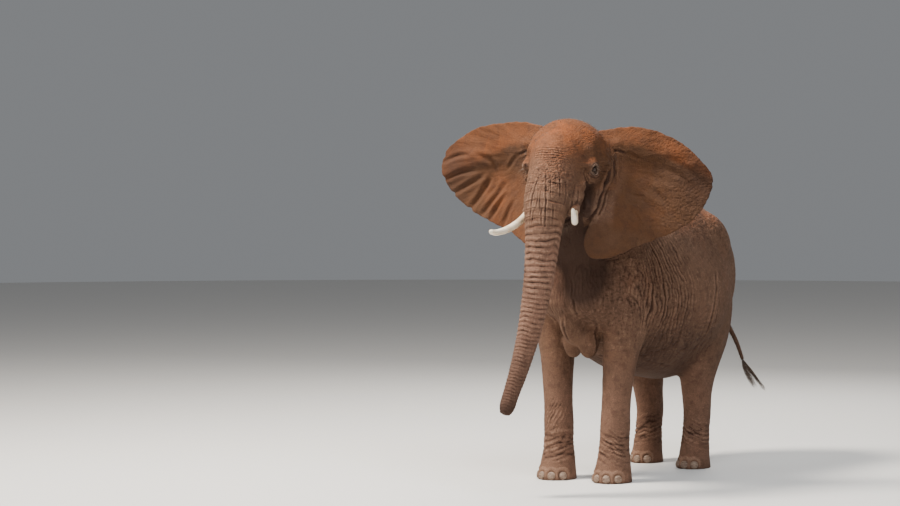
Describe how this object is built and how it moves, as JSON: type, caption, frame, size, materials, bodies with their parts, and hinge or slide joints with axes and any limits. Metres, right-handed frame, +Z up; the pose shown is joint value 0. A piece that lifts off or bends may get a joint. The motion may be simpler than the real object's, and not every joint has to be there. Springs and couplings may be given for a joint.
{
  "type": "african savanna elephant",
  "caption": "Still life-size model of a standing adult cow elephant with spread ears, short tusks and hanging trunk.",
  "frame": {"origin": "on the floor, below the middle of the model's bounding box", "axes": "+Z up, the animal faces -Y, and its left side is towards +X"},
  "size_m": [2.298, 3.6304, 2.9717],
  "materials": {
    "skin": "dry wrinkled hide with reddish dust",
    "hair": "coarse black bristle",
    "eye": "wet dark brown",
    "ivory": "worn satin ivory",
    "nail": "dull horn"
  },
  "bodies": {
    "root": {"torso": "skin", "neck": "skin", "head": "skin", "lower_jaw": "skin", "trunk_upper": "skin", "trunk_middle": "skin", "trunk_lower": "skin", "foreleg_left": "skin", "forefoot_left": "skin", "hindleg_left": "skin", "hindfoot_left": "skin", "foreleg_right": "skin", "forefoot_right": "skin", "hindleg_right": "skin", "hindfoot_right": "skin", "ear_left": "skin", "ear_right": "skin", "tail": "skin", "tail_tuft": "hair", "eye_left": "eye", "eye_right": "eye", "tusk_left": "ivory", "tusk_right": "ivory", "toenail_fore_left_1": "nail", "toenail_fore_left_2": "nail", "toenail_fore_left_3": "nail", "toenail_fore_left_4": "nail", "toenail_fore_right_1": "nail", "toenail_fore_right_2": "nail", "toenail_fore_right_3": "nail", "toenail_fore_right_4": "nail", "toenail_hind_left_1": "nail", "toenail_hind_left_2": "nail", "toenail_hind_left_3": "nail", "toenail_hind_right_1": "nail", "toenail_hind_right_2": "nail", "toenail_hind_right_3": "nail"}
  },
  "joints": []
}
